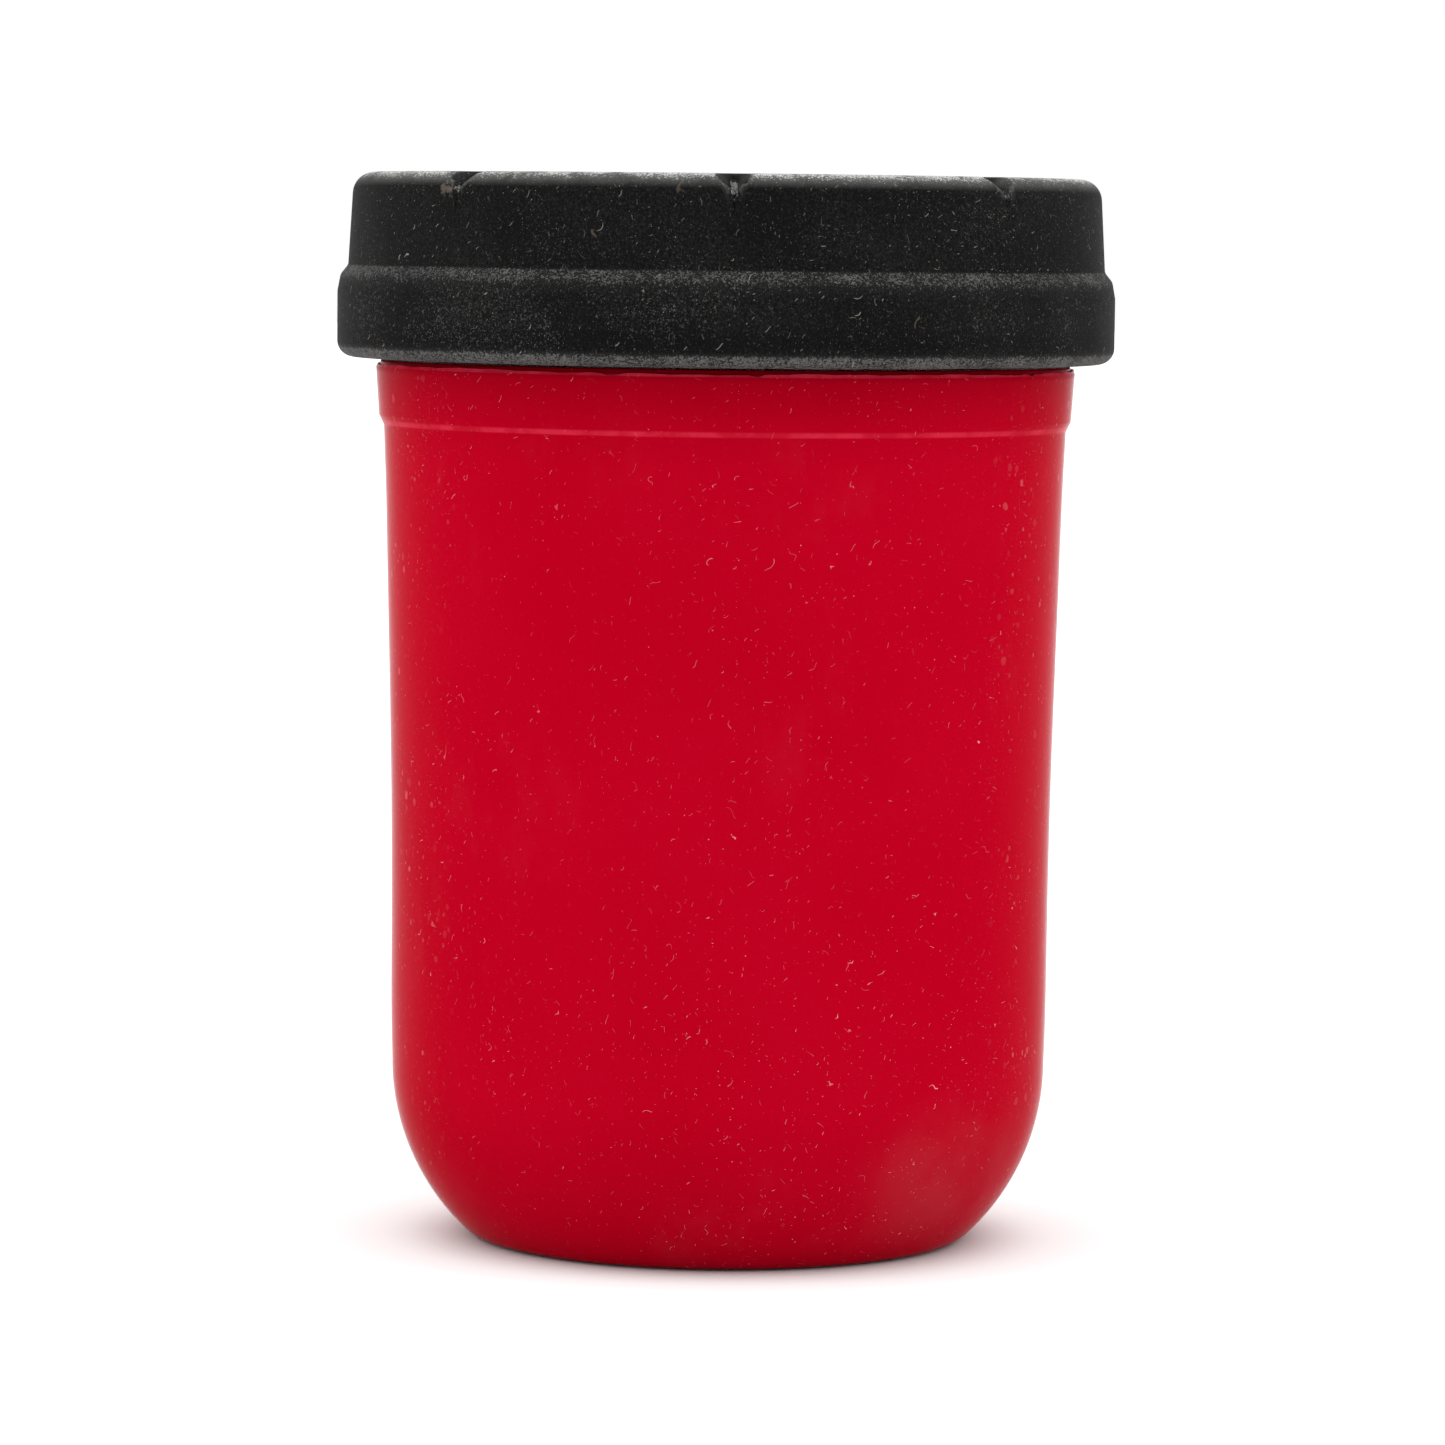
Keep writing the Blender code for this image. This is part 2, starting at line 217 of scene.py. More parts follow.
def spline(points, per_span=6):
    """A Catmull-Rom curve through the points."""
    ends = [points[0], *points, points[-1]]
    made = []
    for p0, p1, p2, p3 in zip(ends, ends[1:], ends[2:], ends[3:]):
        for step in range(per_span):
            t = step / per_span
            made.append(
                tuple(
                    b
                    + 0.5 * (c - a) * t
                    + 0.5 * (2 * a - 5 * b + 4 * c - d) * t**2
                    + 0.5 * (3 * b - a - 3 * c + d) * t**3
                    for a, b, c, d in zip(p0, p1, p2, p3)
                )
            )
    return made + [points[-1]]


def divided(points, longest):
    """Splits each stretch of a profile that is longer than this."""
    made = [points[0]]
    for (r0, z0), (r1, z1) in zip(points, points[1:]):
        count = max(1, math.ceil(math.hypot(r1 - r0, z1 - z0) / longest))
        made += [(r0 + (r1 - r0) * i / count, z0 + (z1 - z0) * i / count) for i in range(1, count + 1)]
    return made


def smooth(x, low, high):
    t = min(1, max(0, (x - low) / (high - low)))
    return t * t * (3 - 2 * t)


# ---------------------------------------------------------------- meshes


def turned(name, profile, angles, shape, sharp=SHARP_EDGE):
    """A profile of (radius, height) points turned round the axis; shape(r, z, angle) moves each point."""
    mesh = bmesh.new()
    rings = []
    for r, z in profile:
        if r < 1e-6:
            rings.append([mesh.verts.new((0, 0, z * MM))] * len(angles))
            continue
        ring = []
        for angle in angles:
            rr, zz = shape(r, z, angle)
            ring.append(mesh.verts.new((rr * math.cos(angle) * MM, rr * math.sin(angle) * MM, zz * MM)))
        rings.append(ring)
    count = len(angles)
    for upper, lower in zip(rings, rings[1:]):
        for i in range(count):
            j = (i + 1) % count
            face = []
            for vert in (upper[i], upper[j], lower[j], lower[i]):
                if vert not in face:
                    face.append(vert)
            if len(face) > 2:
                mesh.faces.new(face)
    bmesh.ops.recalc_face_normals(mesh, faces=mesh.faces)
    return new_piece(name, mesh, sharp)


def new_piece(name, mesh, sharp):
    data = bpy.data.meshes.new(name)
    mesh.to_mesh(data)
    mesh.free()
    for polygon in data.polygons:
        polygon.use_smooth = True
    data.set_sharp_from_angle(angle=math.radians(sharp))
    obj = bpy.data.objects.new(name, data)
    bpy.context.scene.collection.objects.link(obj)
    return obj


def even_angles(count):
    return [TAU * i / count for i in range(count)]


def settle(obj, body, node, material):
    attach(obj, body)
    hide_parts(node)
    obj.data.materials.clear()
    obj.data.materials.append(material)


# ---------------------------------------------------------------- pieces


def flash_height(angle):
    """The thin moulding flash on the sleeve's rim, uneven, and torn away at the nicks."""
    height = FLASH_HEIGHT + 0.05 * math.sin(5 * angle + 1.1) + 0.04 * math.sin(13 * angle + 0.4)
    height += 0.03 * math.sin(41 * angle) + 0.02 * math.sin(97 * angle + 2.0)
    for middle, half in FLASH_NICKS:
        away = abs((math.degrees(angle) - middle + 180) % 360 - 180)
        height *= smooth(away, half * 0.6, half)
    return height


def make_sleeve(material):
    run = math.sqrt((HEEL_RADIUS - FOOT_FILLET) ** 2 - (HEEL_Z - FOOT_FILLET) ** 2)
    end_angle = -math.degrees(math.atan2(HEEL_Z - FOOT_FILLET, run))
    inner_radius = HEEL_RADIUS - SLEEVE_WALL
    floor_angle = -math.degrees(math.asin((HEEL_Z - SLEEVE_FLOOR) / inner_radius))
    centre = (HEEL_CENTRE, HEEL_Z)
    body = spline(BODY)
    inside = [(0, SLEEVE_FLOOR)] + arc(centre, inner_radius, floor_angle, 0, 14)
    inside += [(r - SLEEVE_WALL, z) for r, z in reversed(body[:-1])]
    rim = rounded(
        (
            (COLLAR_INNER, 86.0),
            (COLLAR_INNER, LIP_TOP, 0.3),
            (LIP_RADIUS, LIP_TOP, 0.3),
            (LIP_RADIUS, SLEEVE_RIM, 0.15),
            (36.66, SLEEVE_RIM),
            (FLASH_INNER, SLEEVE_RIM),
            (FLASH_OUTER, SLEEVE_RIM),
            (36.90, SLEEVE_RIM),
            (RIM_RADIUS, SLEEVE_RIM - 0.12),
            (36.6, COLLAR_Z, 0.35),
            (36.08, COLLAR_STEP_Z, 0.5),
            BODY[0],
        ),
        steps=5,
    )
    outside = body[1:-1] + arc(centre, HEEL_RADIUS, 0, end_angle, 22)
    outside += arc((HEEL_CENTRE + run, FOOT_FILLET), FOOT_FILLET, end_angle, -90, 8)[1:]
    foot = rounded(
        (
            outside[-1],
            (FOOT_RING, 0, 0.2),
            (FOOT_RING - FOOT_RECESS, FOOT_RECESS, 0.2),
            (0, FOOT_RECESS),
        ),
        steps=3,
    )
    profile = inside + divided(rim, SLEEVE_RINGS) + outside + foot[1:]

    def shape(r, z, angle):
        if z == SLEEVE_RIM and FLASH_INNER - 0.03 < r < FLASH_OUTER + 0.03:
            return r, z + flash_height(angle)
        return r, z

    obj = turned("sleeve_skin", profile, even_angles(SLEEVE_AROUND), shape)
    settle(obj, "sleeve", "silicone_sleeve", material)


def ridge(z, angle):
    """How far the neck's thread stands out at this height and angle."""
    turn = (angle % TAU) / TAU
    height = 0.0
    for lap in (0, 1):
        along = turn + lap
        if along > RIDGE_TURNS:
            continue
        away = abs(z - (RIDGE_START + PITCH * along)) / RIDGE_HALF
        fade = smooth(min(along, RIDGE_TURNS - along), 0, 0.07)
        if away < 1:
            height = max(height, RIDGE_HEIGHT * fade * math.sqrt(1 - away * away) ** 0.8)
    return height


def make_glass(material):
    wall = SLEEVE_WALL + GAP
    outer_heel = HEEL_RADIUS - wall
    foot_angle = -math.degrees(math.asin((HEEL_Z - JAR_FOOT) / outer_heel))
    inner_radius = BODY[-1][0] - wall - GLASS_WALL
    inner_heel = (inner_radius - GLASS_HEEL_RADIUS, GLASS_FLOOR + GLASS_HEEL_RADIUS)
    body = spline(BODY, 4)
    inside = [(0, GLASS_FLOOR)] + arc(inner_heel, GLASS_HEEL_RADIUS, -90, 0, 10)
    inside += [(r - wall - GLASS_WALL, z) for r, z in reversed(body[4:-6])]
    mouth = rounded(
        (
            (MOUTH_RADIUS, 91.0),
            (MOUTH_RADIUS, JAR_RIM, 1.1),
            (NECK_RADIUS, JAR_RIM, 1.1),
            (NECK_RADIUS, 92.6, 0.6),
            (NECK_FOOT_RADIUS, 91.6, 0.4),
            (NECK_FOOT_RADIUS, NECK_FOOT_Z),
        )
    )
    neck = []
    for (r0, z0), (r1, z1) in zip(mouth, mouth[1:]):
        neck.append((r0, z0))
        if abs(r0 - NECK_RADIUS) < 0.01 and abs(r1 - NECK_RADIUS) < 0.01:
            count = round((z0 - z1) / NECK_RINGS)
            neck += [(NECK_RADIUS, z0 + (z1 - z0) * i / count) for i in range(1, count)]
    neck.append(mouth[-1])
    outside = [(r - wall, z) for r, z in body[:-1]]
    outside += arc((HEEL_CENTRE, HEEL_Z), outer_heel, 0, foot_angle, 14)
    foot = rounded(
        (
            (26.3, JAR_FOOT),
            (20.0, JAR_FOOT, 2.0),
            (16.5, JAR_FOOT + 1.0, 2.0),
            (0, JAR_FOOT + 1.4),
        )
    )

    def shape(r, z, angle):
        if abs(r - NECK_RADIUS) < 0.02 and RIDGE_LOWEST < z < RIDGE_HIGHEST:
            return r + ridge(z, angle), z
        return r, z

    profile = inside + neck + outside + foot[1:]
    obj = turned("jar_glass", profile, even_angles(GLASS_AROUND), shape, SHARP_GLASS_EDGE)
    settle(obj, "jar", "glass_jar", material)


def notch_angles():
    """Angles round the cover, close together at each notch."""
    offsets = [0, 0.04, 0.10, 0.18, 0.28, 0.4, 0.55, 0.72, 0.9, 1.1, 1.3, 1.5, 1.7, 1.9, 2.1]
    offsets += [2.4, 2.8, 3.4, 4.2, 5.2]
    radius = 39.5
    between = 14
    close = [offset / radius for offset in offsets]
    edge = close[-1]
    room = TAU / NOTCH_COUNT - 2 * edge
    angles = []
    for index in range(NOTCH_COUNT):
        middle = NOTCH_PHASE + TAU * index / NOTCH_COUNT
        angles += [middle + a for a in close] + [middle - a for a in close[1:]]
        angles += [middle + edge + room * i / between for i in range(1, between)]
    return sorted(a % TAU for a in angles)


def make_cover(material):
    profile = rounded(
        (
            (0, COVER_TOP - COVER_RECESS),
            (28.9, COVER_TOP - COVER_RECESS, 0.3),
            (29.6, COVER_TOP, 0.4),
            (39.4, COVER_TOP, 2.3),
            (39.95, 102.75, 0.7),
            (40.75, 101.75, 1.2),
            (41.07, 100.0, 1.2),
            (41.07, COVER_BOTTOM, 1.7),
            (38.3, COVER_BOTTOM, 0.25),
            (38.3, 93.8, 0.2),
            (39.5, 93.8),
            (39.5, 100.0),
            (38.4, 102.5),
            (38.2, 107.9),
            (34.8, COVER_CEILING),
            (0, COVER_CEILING),
        ),
        steps=10,
    )
    inner_start = next(i for i, p in enumerate(profile) if p == (39.5, 93.8))
    outer = divided(profile[:inner_start], COVER_RINGS)
    # The flat middle of the top needs only a few rings.
    outer = [p for i, p in enumerate(outer) if p[0] > 29 or i % 12 == 0 or p[0] == 0]
    profile = outer + profile[inner_start:]
    middles = [NOTCH_PHASE + TAU * i / NOTCH_COUNT for i in range(NOTCH_COUNT)]

    def shape(r, z, angle):
        drop = COVER_TOP - z
        if r < NOTCH_INNER_R or drop > GROOVE or (r < 38.3 and z < 111.5):
            return r, z
        off = min(abs((angle - m + math.pi) % TAU - math.pi) for m in middles) * r
        cut = 0.0
        for reach, half, depth, power in (
            (FUNNEL, FUNNEL_HALF, FUNNEL_DEPTH, 1.1),
            (GROOVE, GROOVE_HALF, GROOVE_DEPTH, 0.8),
        ):
            left = max(0.0, 1 - drop / reach)
            half *= left**0.8
            if off < half:
                cut += depth * left**0.7 * (1 - off / half) ** power
        cut *= smooth(r, NOTCH_INNER_R, 38.6)
        # The cut goes inwards at the side and turns downwards near the top edge.
        down = smooth(z, 109.6, 112.3)
        return r - cut * math.cos(down), z - cut * math.sin(down)

    obj = turned("cover_skin", profile, notch_angles(), shape, SHARP_COVER_EDGE)
    settle(obj, "outer_cap", "lid_cover", material)


# ---------------------------------------------------------------- material nodes


class Nodes:
    """Short calls for building a node material. A value is a number, a tuple or another node's output."""

    def __init__(self, name):
        self.material = bpy.data.materials.new(name)
        self.material.use_nodes = True
        self.tree = self.material.node_tree
        self.tree.nodes.clear()
        out = self.tree.nodes.new("ShaderNodeOutputMaterial")
        self.shader = self.tree.nodes.new("ShaderNodeBsdfPrincipled")
        self.tree.links.new(self.shader.outputs[0], out.inputs["Surface"])
        self.coords = self.tree.nodes.new("ShaderNodeTexCoord")
        self.mm = self.vector("SCALE", self.coords.outputs["Object"], scale=1000.0)

    def put(self, socket, value):
        if isinstance(value, bpy.types.NodeSocket):
            self.tree.links.new(value, socket)
        elif isinstance(value, tuple) and len(value) == 3 and socket.type == "RGBA":
            socket.default_value = (*value, 1.0)
        else:
            socket.default_value = value

    def node(self, kind, **settings):
        made = self.tree.nodes.new("ShaderNode" + kind)
        for key, value in settings.items():
            setattr(made, key, value)
        return made

    def vector(self, operation, first, second=None, scale=None):
        made = self.node("VectorMath", operation=operation)
        self.put(made.inputs[0], first)
        if second is not None:
            self.put(made.inputs[1], second)
        if scale is not None:
            self.put(made.inputs["Scale"], scale)
        return made.outputs[0]

    def math(self, operation, first, second=0.0, third=None, clamp=False):
        made = self.node("Math", operation=operation, use_clamp=clamp)
        self.put(made.inputs[0], first)
        self.put(made.inputs[1], second)
        if third is not None:
            self.put(made.inputs[2], third)
        return made.outputs[0]

    def chain(self, operation, values):
        total = values[0]
        for value in values[1:]:
            total = self.math(operation, total, value)
        return total

    def times(self, *values):
        return self.chain("MULTIPLY", values)

    def most(self, *values):
        return self.chain("MAXIMUM", values)

    def minus(self, first, second, clamp=False):
        return self.math("SUBTRACT", first, second, clamp=clamp)

    def scaled(self, value, factor, added):
        return self.math("MULTIPLY_ADD", value, factor, added)

    def band(self, value, low, low_full, high_full, high):
        """1 between the two inner limits and 0 past the outer ones."""
        return self.times(self.step(value, low, low_full), self.step(value, high, high_full))

    def step(self, value, low, high, to_low=0.0, to_high=1.0):
        made = self.node("MapRange", interpolation_type="SMOOTHSTEP")
        for name, number in (("Value", value), ("From Min", low), ("From Max", high)):
            self.put(made.inputs[name], number)
        made.inputs["To Min"].default_value = to_low
        made.inputs["To Max"].default_value = to_high
        return made.outputs[0]

    def noise(self, size, detail=2.0, rough=0.5, seed=0.0, stretch=None):
        """Noise with features of about this many millimetres."""
        coords = self.mm
        if seed:
            coords = self.vector("ADD", coords, (seed, seed * 1.7, seed * 0.6))
        if stretch:
            coords = self.vector("MULTIPLY", coords, stretch)
        made = self.node("TexNoise")
        self.put(made.inputs["Vector"], coords)
        made.inputs["Scale"].default_value = 1.0 / size
        made.inputs["Detail"].default_value = detail
        made.inputs["Roughness"].default_value = rough
        return made.outputs["Fac"]

    def dot(self, first, second):
        made = self.node("VectorMath", operation="DOT_PRODUCT")
        self.put(made.inputs[0], first)
        self.put(made.inputs[1], second)
        return made.outputs["Value"]

    def length(self, value):
        made = self.node("VectorMath", operation="LENGTH")
        self.put(made.inputs[0], value)
        return made.outputs["Value"]

    def cells(self, cell, seed, bend=0.0, reach=1.0):
        """Scattered points: the offset from the nearest one, along the surface, and its random colour."""
        coords = self.vector("ADD", self.mm, (seed * 1.1, seed, seed * 0.8))
        if bend:
            wobble = self.node("TexNoise")
            self.put(wobble.inputs["Vector"], coords)
            wobble.inputs["Scale"].default_value = 0.9 / reach
            wobble.inputs["Detail"].default_value = 0.0
            push = self.vector("SUBTRACT", wobble.outputs["Color"], (0.5, 0.5, 0.5))
            coords = self.vector("ADD", coords, self.vector("SCALE", push, scale=bend * reach))
        made = self.node("TexVoronoi", feature="F1")
        self.put(made.inputs["Vector"], coords)
        made.inputs["Scale"].default_value = 1.0 / cell
        away = self.vector("SUBTRACT", coords, made.outputs["Position"])
        normal = self.coords.outputs["Normal"]
        away = self.vector("SUBTRACT", away, self.vector("SCALE", normal, scale=self.dot(away, normal)))
        draws = self.node("SeparateColor")
        self.put(draws.inputs[0], made.outputs["Color"])
        return away, made.outputs["Color"], draws.outputs

    def chosen(self, draws, share):
        """Which scattered points carry a speck; most of those are faint and a few are bright."""
        bright = self.scaled(self.math("POWER", draws[2], 2.5), 1.5, 0.25)
        return self.times(self.math("LESS_THAN", draws[0], share), bright)

    def dots(self, cell, radius, share, seed=0.0):
        """Specks on the surface: at most one in each cell of this many millimetres, of uneven size."""
        away, _, draws = self.cells(cell, seed, 0.5, radius)
        size = self.scaled(draws[1], 0.75 * radius, 0.25 * radius)
        inside = self.step(self.minus(size, self.length(away)), 0.0, 0.3 * radius)
        return self.times(inside, self.chosen(draws, share))

    def hairs(self, cell, length, width, share, seed=0.0, bend=0.9):
        """Short bent hairs lying on the surface: at most one in each cell of this many millimetres."""
        away, colour, draws = self.cells(cell, seed, bend, length)
        lean = self.vector("SUBTRACT", colour, (0.5, 0.5, 0.5))
        side = self.vector("CROSS_PRODUCT", lean, self.coords.outputs["Normal"])
        side = self.vector("NORMALIZE", side)
        along = self.dot(away, side)
        across = self.length(self.vector("SUBTRACT", away, self.vector("SCALE", side, scale=along)))
        reach = self.scaled(draws[1], length * 0.42, length * 0.10)
        ends = self.step(self.minus(reach, self.math("ABSOLUTE", along)), 0.0, width * 1.5)
        thin = self.step(across, width * 0.75, width * 0.30)
        return self.times(ends, thin, self.chosen(draws, share))

    def grains(self, size, amount, seed=0.0):
        """Powder with grains of this many millimetres, which covers more where amount is near 1."""
        low = self.scaled(amount, -0.34, 0.76)
        return self.step(self.noise(size, 2.0, 0.65, seed), low, self.math("ADD", low, 0.09))

    def mix(self, factor, first, second):
        made = self.node("Mix", data_type="RGBA")
        self.put(made.inputs["Factor"], factor)
        self.put(made.inputs[6], first)
        self.put(made.inputs[7], second)
        return made.outputs[2]

    def bump(self, height, distance, strength=1.0, normal=None):
        made = self.node("Bump")
        made.inputs["Strength"].default_value = strength
        made.inputs["Distance"].default_value = distance * MM
        self.put(made.inputs["Height"], height)
        if normal is not None:
            self.put(made.inputs["Normal"], normal)
        return made.outputs[0]

    def along(self, axis):
        return self.dot(self.mm, axis)

    def height(self):
        return self.along((0.0, 0.0, 1.0))

    def notch_offset(self):
        """How far round the cover the nearest notch is, in millimetres."""
        split = self.node("SeparateXYZ")
        self.put(split.inputs[0], self.mm)
        angle = self.minus(self.math("ARCTAN2", split.outputs[1], split.outputs[0]), NOTCH_PHASE)
        half_step = TAU / NOTCH_COUNT / 2
        angle = self.math("WRAP", angle, half_step, -half_step)
        return self.times(self.math("ABSOLUTE", angle), self.radius())

    def away_from(self, place, stretch=(1.0, 1.0, 1.0)):
        offset = self.vector("SUBTRACT", self.mm, place)
        return self.length(self.vector("MULTIPLY", offset, stretch))

    def radius(self):
        return self.length(self.vector("MULTIPLY", self.mm, (1.0, 1.0, 0.0)))

    def set(self, **values):
        for key, value in values.items():
            self.put(self.shader.inputs[key.replace("_", " ")], value)
        return self.material


# ---------------------------------------------------------------- red silicone


def red_smudges(n, colour):
    """Faint smudges all over, a handled patch low at the front right, and soft prints down both sides."""
    smudge = n.times(
        n.step(n.noise(6.0, 4.0, 0.6, 5.0, (1.0, 1.0, 0.6)), 0.50, 0.78),
        n.step(n.noise(26.0, 1.0, 0.5, 9.0), 0.42, 0.66),
    )
    colour = n.mix(n.times(smudge, 0.06), colour, RED_SMUDGE)
    near = n.step(n.away_from(HANDLED_PLACE, (1.0, 1.0, 1.5)), 17.0, 4.0)
    handled = n.times(near, n.step(n.noise(8.0, 3.0, 0.5, 25.0), 0.25, 0.70))
    colour = n.mix(n.times(handled, 0.20), colour, RED_HANDLED)
    sideways = n.math("ABSOLUTE", n.along((1.0, 0.0, 0.0)))
    side = n.times(n.step(sideways, 26.5, 31.0), n.step(n.noise(9.0, 1.0, 0.5, 35.0), 0.34, 0.58))
    prints = n.most(n.dots(2.6, 0.55, 0.5, 41.0), n.dots(1.5, 0.30, 0.4, 43.0))
    return n.mix(n.times(side, prints, 0.22), colour, RED_PRINT)


def red_edges(n, z, colour):
    """The step under the collar gets an uneven painted highlight; the moulding flash is worn lighter; the lip
    behind the flash gets painted shade.
    """
    step_z = COLLAR_STEP_Z
    rim_z = SLEEVE_RIM
    # Uneven strength, shared by the flash's wear and the step's painted highlight.
    wear_and_highlight_patches = n.step(n.noise(3.5, 3.0, 0.6, 16.0), 0.35, 0.62, 0.35, 1.0)
    # Painted highlight on the downward-facing step under the collar.
    ledge_highlight = n.band(z, step_z + 0.05, step_z + 0.25, step_z + 0.5, step_z + 0.8)
    flash = n.band(z, rim_z - 0.1, rim_z + 0.02, rim_z + 0.35, rim_z + 0.55)
    # Painted shade on the lip above the flash, which sits just under the lid.
    behind = n.step(n.radius(), FLASH_INNER - 0.06, FLASH_INNER - 0.10)
    lip_painted_shade = n.times(n.step(z, rim_z + 0.1, rim_z + 0.2), behind)
    colour = n.mix(n.times(ledge_highlight, wear_and_highlight_patches, 0.42), colour, RED_LEDGE_HIGHLIGHT)
    colour = n.mix(n.times(flash, wear_and_highlight_patches, 0.34), colour, RED_FLASH)
    return n.mix(lip_painted_shade, colour, RED_LIP_SHADE)


def red_dust(n, colour):
    """Pink specks and short hairs, thickest low at the front; gives the colour and where they lie."""
    crowd = n.times(n.step(n.noise(15.0, 2.0, 0.5, 8.0), 0.36, 0.66), 0.45)
    near = n.step(n.away_from(LINT_PLACE, (0.85, 1.0, 0.8)), 30.0, 10.0, 0.0, 0.8)
    crowd = n.math("ADD", n.most(crowd, near), 0.22)
    specks = n.most(n.dots(1.3, 0.08, 0.22), n.dots(0.7, 0.05, 0.22, 9.0))
    specks = n.times(specks, crowd)
    long_hairs = n.hairs(2.0, 0.95, 0.050, 0.27, 3.0, 1.5)
    short_hairs = n.hairs(1.1, 0.5, 0.043, 0.28, 14.0, 1.4)
    lint = n.times(n.most(long_hairs, short_hairs), crowd)
    colour = n.mix(n.times(specks, 0.54), colour, RED_SPECK)
    colour = n.mix(n.times(lint, 0.62), colour, RED_LINT)
    return colour, n.most(specks, lint)


def red_silicone():
    n = Nodes("red_silicone_look")
    z = n.height()
    cloud = n.noise(24.0, 3.0, 0.5)
    colour = n.mix(n.step(cloud, 0.35, 0.65), RED_DEEP, RED)
    # Painted shade: the sleeve gets darker from 82 mm up towards the lid.
    painted_shade_under_lid = n.step(z, 82.0, 91.0)
    colour = n.mix(n.times(painted_shade_under_lid, 0.24), colour, RED_PAINTED_SHADE)
    colour = red_smudges(n, colour)
    colour = red_edges(n, z, colour)
    colour, dust = red_dust(n, colour)
    normal = n.bump(n.noise(0.22, 2.0, 0.6), 0.012, 0.6)
    normal = n.bump(n.noise(5.0, 2.0, 0.5, 3.0), 0.06, 0.5, normal)
    normal = n.bump(dust, 0.05, 0.8, normal)
    rough = n.math("ADD", n.step(cloud, 0.3, 0.7, 0.12, 0.17), n.times(dust, 0.5))
    return n.set(Base_Color=colour, Roughness=rough, Normal=normal, Specular_IOR_Level=RED_SHINE)


# ---------------------------------------------------------------- black silicone


def notch_masks(n, z, ragged):
    """The inside of the notches' funnels, the lips beside them, and the grooves below."""
    top = COVER_TOP
    off = n.scaled(ragged, 1.1, n.notch_offset())
    past = n.minus(off, n.scaled(n.step(z, top - 1.8, top - 0.1), 1.30, 0.40))
    inside = n.times(n.step(past, 0.25, -0.15), n.step(z, top - 2.7, top - 1.9))
    lips = n.times(n.step(past, 0.9, 0.0), n.step(z, top - 2.8, top - 0.9), n.step(n.radius(), 35.2, 37.0))
    past_groove = n.minus(off, n.step(z, top - 3.9, top - 1.1, -0.10, 0.44))
    groove = n.times(n.step(past_groove, 0.12, -0.22), n.band(z, top - 4.3, top - 1.6, top - 1.0, top - 0.5))
    return inside, lips, groove


def edge_dust_and_sheen_mask(n, z, inside, lips):
    """The top edge, where powder gathers and a painted sheen lightens it: less of it inside the notches, and
    some on their lips.
    """
    edge = n.math("MULTIPLY", n.minus(z, COVER_TOP - 1.5), 0.67, clamp=True)
    edge = n.times(n.math("POWER", edge, 1.2), n.step(n.radius(), 36.5, 37.9))
    edge = n.times(edge, n.step(n.noise(3.0, 4.0, 0.65, 45.0), 0.30, 0.56, 0.62, 1.0))
    cleared = n.step(n.along((1.0, 0.0, 0.0)), 19.0, 23.0, 0.88, 0.45)
    edge = n.times(edge, n.minus(1.0, n.times(inside, cleared)))
    return n.most(edge, n.times(n.minus(lips, inside, clamp=True), 0.60))


def black_powder(n, z, colour, ragged, crowd):
    """Pale powder on the top edge, the shoulder, the bottom edge and in the notches, and thinly elsewhere; on
    the top edge it is partly painted sheen.
    """
    inside, lips, groove = notch_masks(n, z, ragged)
    edge = edge_dust_and_sheen_mask(n, z, inside, lips)
    shoulder = n.band(z, 99.9, 102.0, 102.65, 102.95)
    foot = n.step(z, COVER_BOTTOM + 1.65, COVER_BOTTOM + 0.9)
    patch = n.step(n.noise(5.0, 3.0, 0.6, 11.0), 0.3, 0.7, 0.84, 1.08)
    amount = n.scaled(n.band(z, 94.0, 96.0, 101.0, 102.0), 0.12, n.scaled(crowd, 0.26, 0.12))
    amount = n.most(amount, n.times(shoulder, 0.80, patch), n.times(foot, 0.84, patch))
    amount = n.most(amount, n.times(edge, 0.95), n.times(groove, 0.92))
    amount = n.scaled(shoulder, -0.10, amount)
    # An even film: dust, and on the top edge also a painted sheen where the edge faces the overhead light.
    dust_and_sheen_film = n.most(n.times(shoulder, 0.009), n.times(foot, 0.020), n.times(edge, 0.17), n.times(groove, 0.05))
    dust_and_sheen_film = n.times(dust_and_sheen_film, patch)
    strength = n.most(n.times(edge, 0.50), n.times(groove, 0.30))
    strength = n.scaled(foot, 0.060, n.scaled(shoulder, 0.045, strength))
    strength = n.math("ADD", strength, n.scaled(n.noise(0.7, 1.0, 0.5, 6.0), 0.13, 0.01))
    powder = n.most(n.grains(0.20, amount, 4.0), n.times(n.grains(0.42, amount, 9.0), 0.6))
    cover = n.math("MULTIPLY_ADD", powder, strength, dust_and_sheen_film, clamp=True)
    return n.mix(cover, colour, POWDER_AND_SHEEN)


def black_dust(n, colour, crowd):
    """Specks, hairs and a few tan flakes; gives the colour and where they lie."""
    specks = n.most(n.dots(0.38, 0.065, 0.42), n.dots(1.5, 0.09, 0.26, 6.0))
    specks = n.times(specks, n.scaled(crowd, 0.75, 0.30))
    lint = n.most(n.hairs(0.8, 0.40, 0.070, 0.34, 7.0), n.hairs(1.7, 0.9, 0.085, 0.32, 21.0))
    flakes = n.hairs(4.5, 1.1, 0.24, 0.16, 33.0, 1.6)
    colour = n.mix(n.times(specks, 0.15), colour, SPECK)
    colour = n.mix(n.times(lint, 0.17), colour, LINT)
    colour = n.mix(n.times(flakes, 0.16), colour, FLAKE)
    return colour, n.most(specks, lint, flakes)


